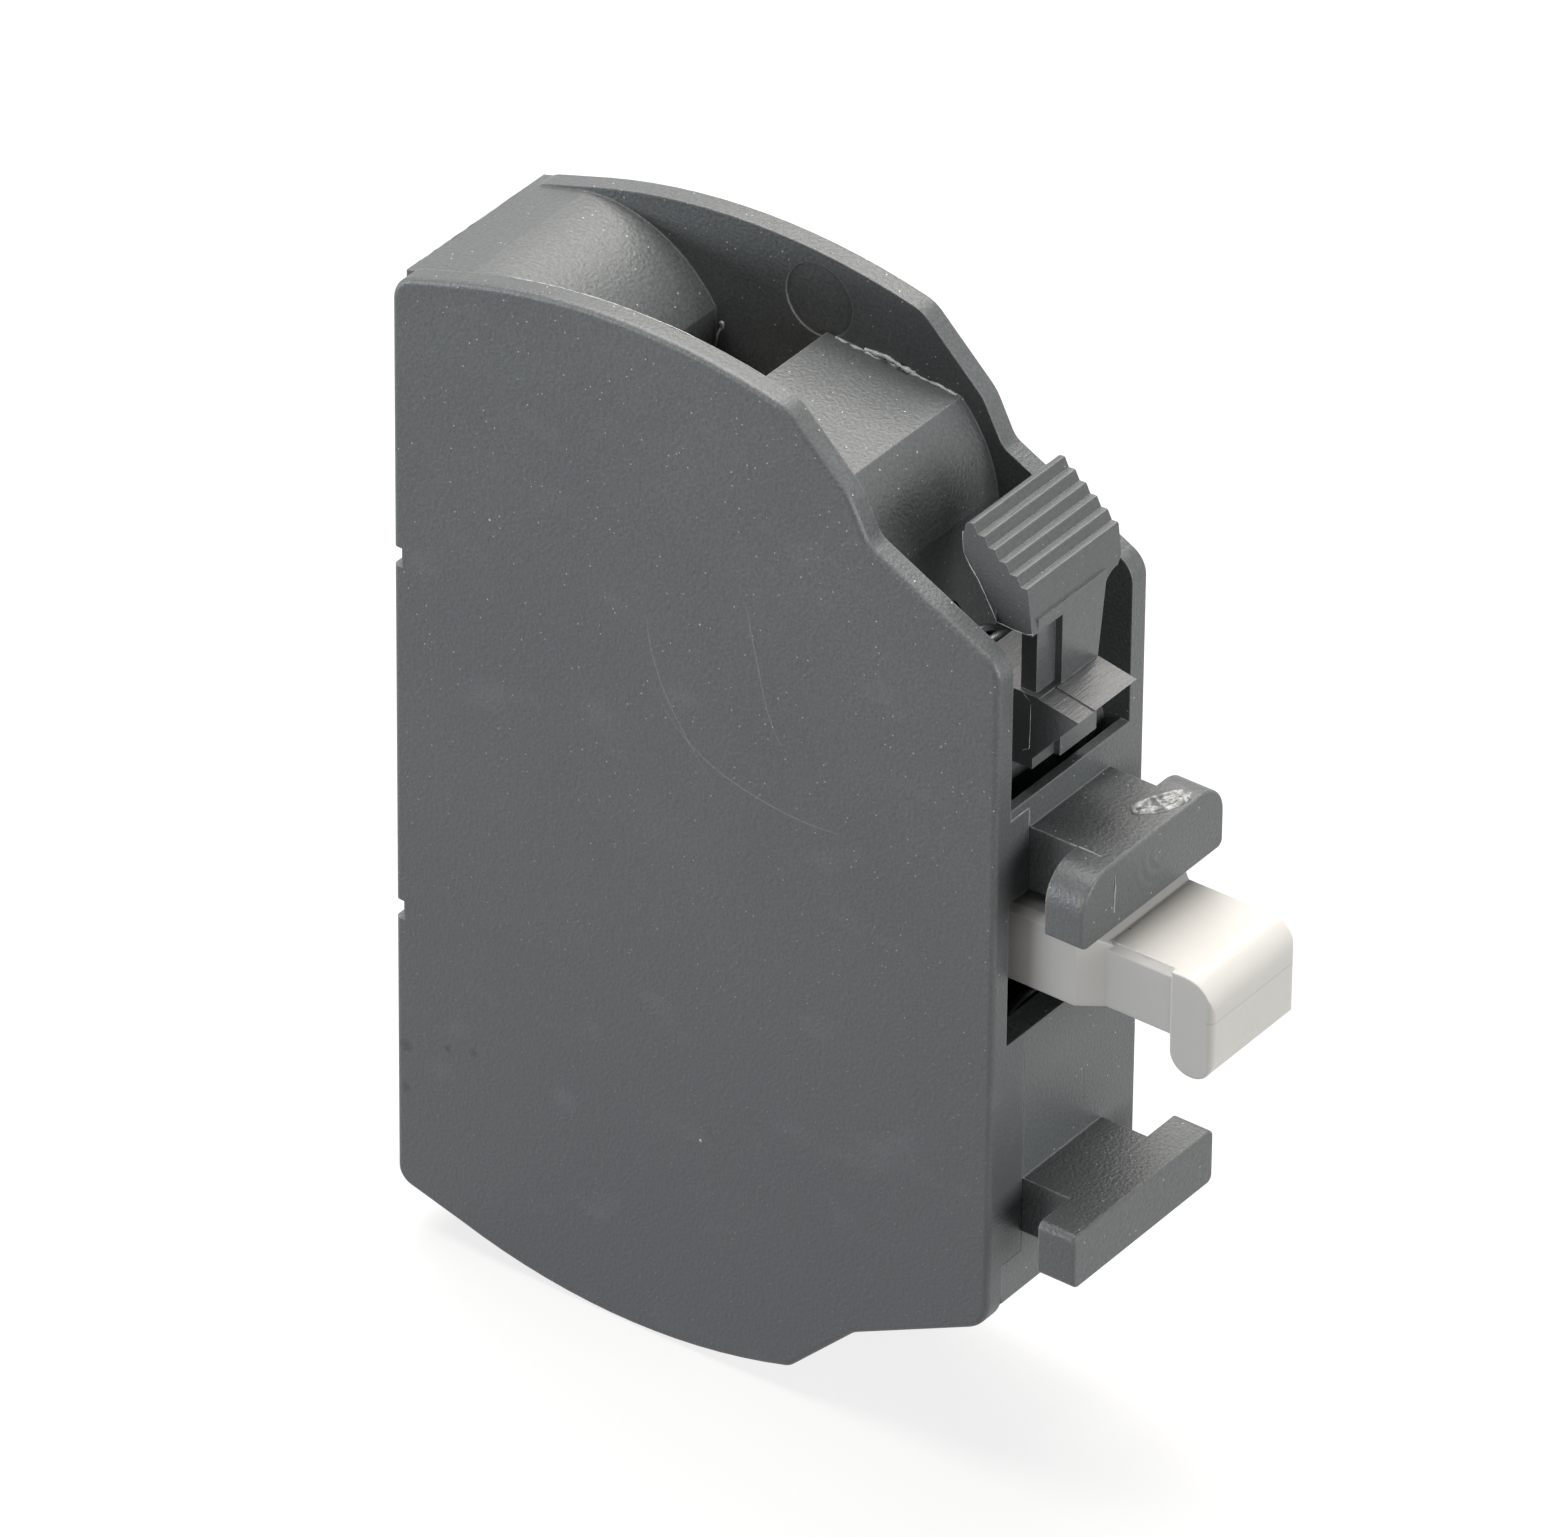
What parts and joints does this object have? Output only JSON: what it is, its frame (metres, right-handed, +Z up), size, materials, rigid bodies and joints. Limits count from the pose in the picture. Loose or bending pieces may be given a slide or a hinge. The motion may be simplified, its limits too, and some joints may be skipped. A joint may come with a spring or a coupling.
{
  "type": "auxiliary contact block",
  "caption": "Slim front-mounted auxiliary contact block with T-shaped rear hooks, a sprung actuator slider, a ribbed release latch and captive screw terminals.",
  "frame": {"origin": "middle of the rear face, halfway across the width and halfway up", "axes": "+X towards the removable side cover, +Y out of the rear face to the contactor, +Z up towards the release latch"},
  "size_m": [0.01, 0.0391, 0.0484],
  "materials": {
    "housing_plastic": "fine moulded grain",
    "cover_plastic": "fine moulded grain",
    "latch_plastic": "smooth moulded",
    "slider_plastic": "smooth moulded",
    "spring_steel": "drawn wire",
    "copper_alloy": "rolled strip",
    "contact_silver": "dull silver",
    "zinc_steel": "zinc plated",
    "screw_steel": "zinc plated"
  },
  "bodies": {
    "casing": {"housing": "housing_plastic", "side_cover": "cover_plastic", "return_spring": "spring_steel", "latch_spring": "spring_steel", "terminal_strip_upper": "copper_alloy", "fixed_tip_upper": "contact_silver", "terminal_nut_upper": "zinc_steel", "terminal_strip_lower": "copper_alloy", "fixed_tip_lower": "contact_silver", "terminal_nut_lower": "zinc_steel"},
    "latch": {"release_latch": "latch_plastic"},
    "slider": {"actuator_slider": "slider_plastic", "bridge_spring": "spring_steel"},
    "bridge": {"contact_bridge": "copper_alloy", "bridge_tip_upper": "contact_silver", "bridge_tip_lower": "contact_silver"},
    "clamp_upper": {"clamp_plate_upper": "zinc_steel", "spring_washer_upper": "zinc_steel"},
    "screw_upper": {"terminal_screw_upper": "screw_steel"},
    "clamp_lower": {"clamp_plate_lower": "zinc_steel", "spring_washer_lower": "zinc_steel"},
    "screw_lower": {"terminal_screw_lower": "screw_steel"}
  },
  "joints": [
    {"name": "slider_travel", "type": "slide", "parent": "casing", "child": "slider", "axis": [0, 1, 0], "range_m": [0, 0.0045], "stiffness_N_per_m": 120, "springref_m": -0.004, "deforming": ["return_spring"]},
    {"name": "bridge_overtravel", "type": "slide", "parent": "slider", "child": "bridge", "axis": [0, 1, 0], "range_m": [-0.0015, 0], "stiffness_N_per_m": 300, "springref_m": 0.002, "deforming": ["bridge_spring"]},
    {"name": "latch_swing", "type": "hinge", "parent": "casing", "child": "latch", "pos_m": [0, -0.00275, 0.0074], "axis": [1, 0, 0], "range_deg": [0, 8], "stiffness_Nm_per_rad": 0.02, "springref_deg": -8.59, "deforming": ["latch_spring"]},
    {"name": "clamp_travel_upper", "type": "slide", "parent": "casing", "child": "clamp_upper", "axis": [0, 1, 0], "range_m": [0, 0.0015]},
    {"name": "screw_turn_upper", "type": "hinge", "parent": "clamp_upper", "child": "screw_upper", "pos_m": [0, -0.021, 0.0146], "axis": [0, 1, 0], "range_deg": [0, 900]},
    {"name": "clamp_travel_lower", "type": "slide", "parent": "casing", "child": "clamp_lower", "axis": [0, 1, 0], "range_m": [0, 0.0015]},
    {"name": "screw_turn_lower", "type": "hinge", "parent": "clamp_lower", "child": "screw_lower", "pos_m": [0, -0.021, -0.0146], "axis": [0, 1, 0], "range_deg": [0, 900]}
  ],
  "couplings": [
    {"joint": "bridge_overtravel", "follows": "slider_travel", "ratio": -0.33333},
    {"joint": "screw_turn_upper", "follows": "clamp_travel_upper", "rad_per_m": 10472},
    {"joint": "screw_turn_lower", "follows": "clamp_travel_lower", "rad_per_m": 10472}
  ]
}
